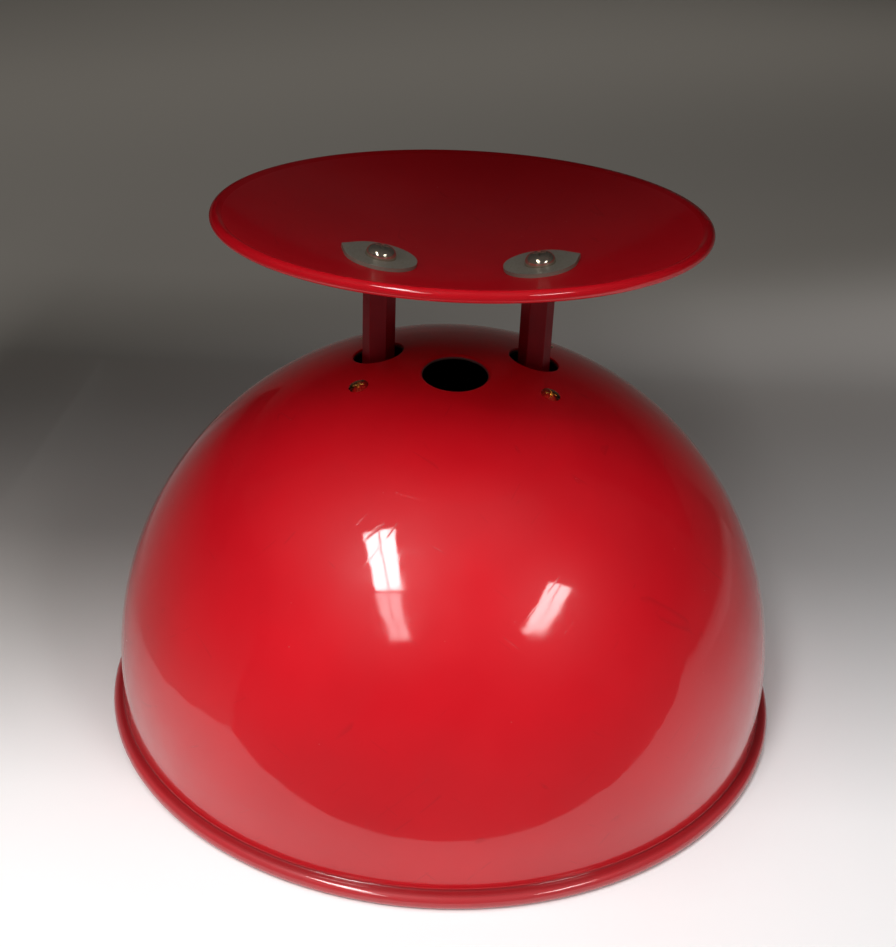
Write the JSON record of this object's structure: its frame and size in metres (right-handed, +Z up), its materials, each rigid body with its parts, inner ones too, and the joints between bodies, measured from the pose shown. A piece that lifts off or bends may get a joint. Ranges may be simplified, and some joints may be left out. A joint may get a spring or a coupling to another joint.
{
  "type": "fire alarm bell",
  "caption": "Domed red fire alarm bell on a rolled rim; pressing the dish on its two posts drives a hidden plunger that swings a hammer against the gong.",
  "frame": {"origin": "centre of the ring that the gong's rolled rim rests on", "axes": "+Z up through the crown to the push dish; -Y is the front, where the crown port is; the hammer hangs towards -X"},
  "size_m": [0.2542, 0.2542, 0.1877],
  "materials": {
    "red_enamel": "glossy baked enamel",
    "red_post_paint": "satin paint",
    "brass_passivated_steel": "yellow passivated, satin",
    "nickel_steel": "dull nickel plate",
    "zinc_steel": "matt zinc plate",
    "bright_steel": "turned, bright",
    "spring_steel": "drawn wire",
    "black_steel": "black oxide",
    "black_casting": "black painted casting",
    "bronze": "sintered bronze",
    "black_rubber": "matt"
  },
  "bodies": {
    "bell": {"gong": "red_enamel", "gong_screws": "brass_passivated_steel", "isolating_washers": "black_rubber", "chassis": "black_casting", "guide_bush_left": "bronze", "guide_bush_right": "bronze", "stop_buffer_left": "black_rubber", "stop_buffer_right": "black_rubber", "return_spring_left": "spring_steel", "return_spring_right": "spring_steel", "rest_bumpers": "black_rubber", "pivot_bracket": "zinc_steel", "bracket_screws": "zinc_steel", "pivot_pin": "bright_steel", "pivot_clip": "spring_steel"},
    "push_unit": {"push_dish": "red_enamel", "dish_washer_left": "zinc_steel", "dish_washer_right": "zinc_steel", "dish_screws": "nickel_steel", "post_left": "red_post_paint", "post_right": "red_post_paint", "spring_seat_left": "black_steel", "spring_seat_right": "black_steel", "crosshead": "zinc_steel", "post_lock_washers": "zinc_steel", "post_nuts": "zinc_steel"},
    "hammer": {"hammer_lever": "zinc_steel", "hammer_head": "bright_steel", "hammer_rivet": "bright_steel"}
  },
  "joints": [
    {"name": "push_slide", "type": "slide", "parent": "bell", "child": "push_unit", "axis": [0, 0, -1], "range_m": [0, 0.012], "stiffness_N_per_m": 1500, "springref_m": -0.012, "deforming": ["return_spring_left", "return_spring_right"]},
    {"name": "hammer_swing", "type": "hinge", "parent": "bell", "child": "hammer", "pos_m": [-0.06, 0, 0.07369], "axis": [0, 1, 0], "range_deg": [0, 35]}
  ],
  "couplings": [
    {"joint": "hammer_swing", "follows": "push_slide", "rad_per_m": 50.905}
  ]
}
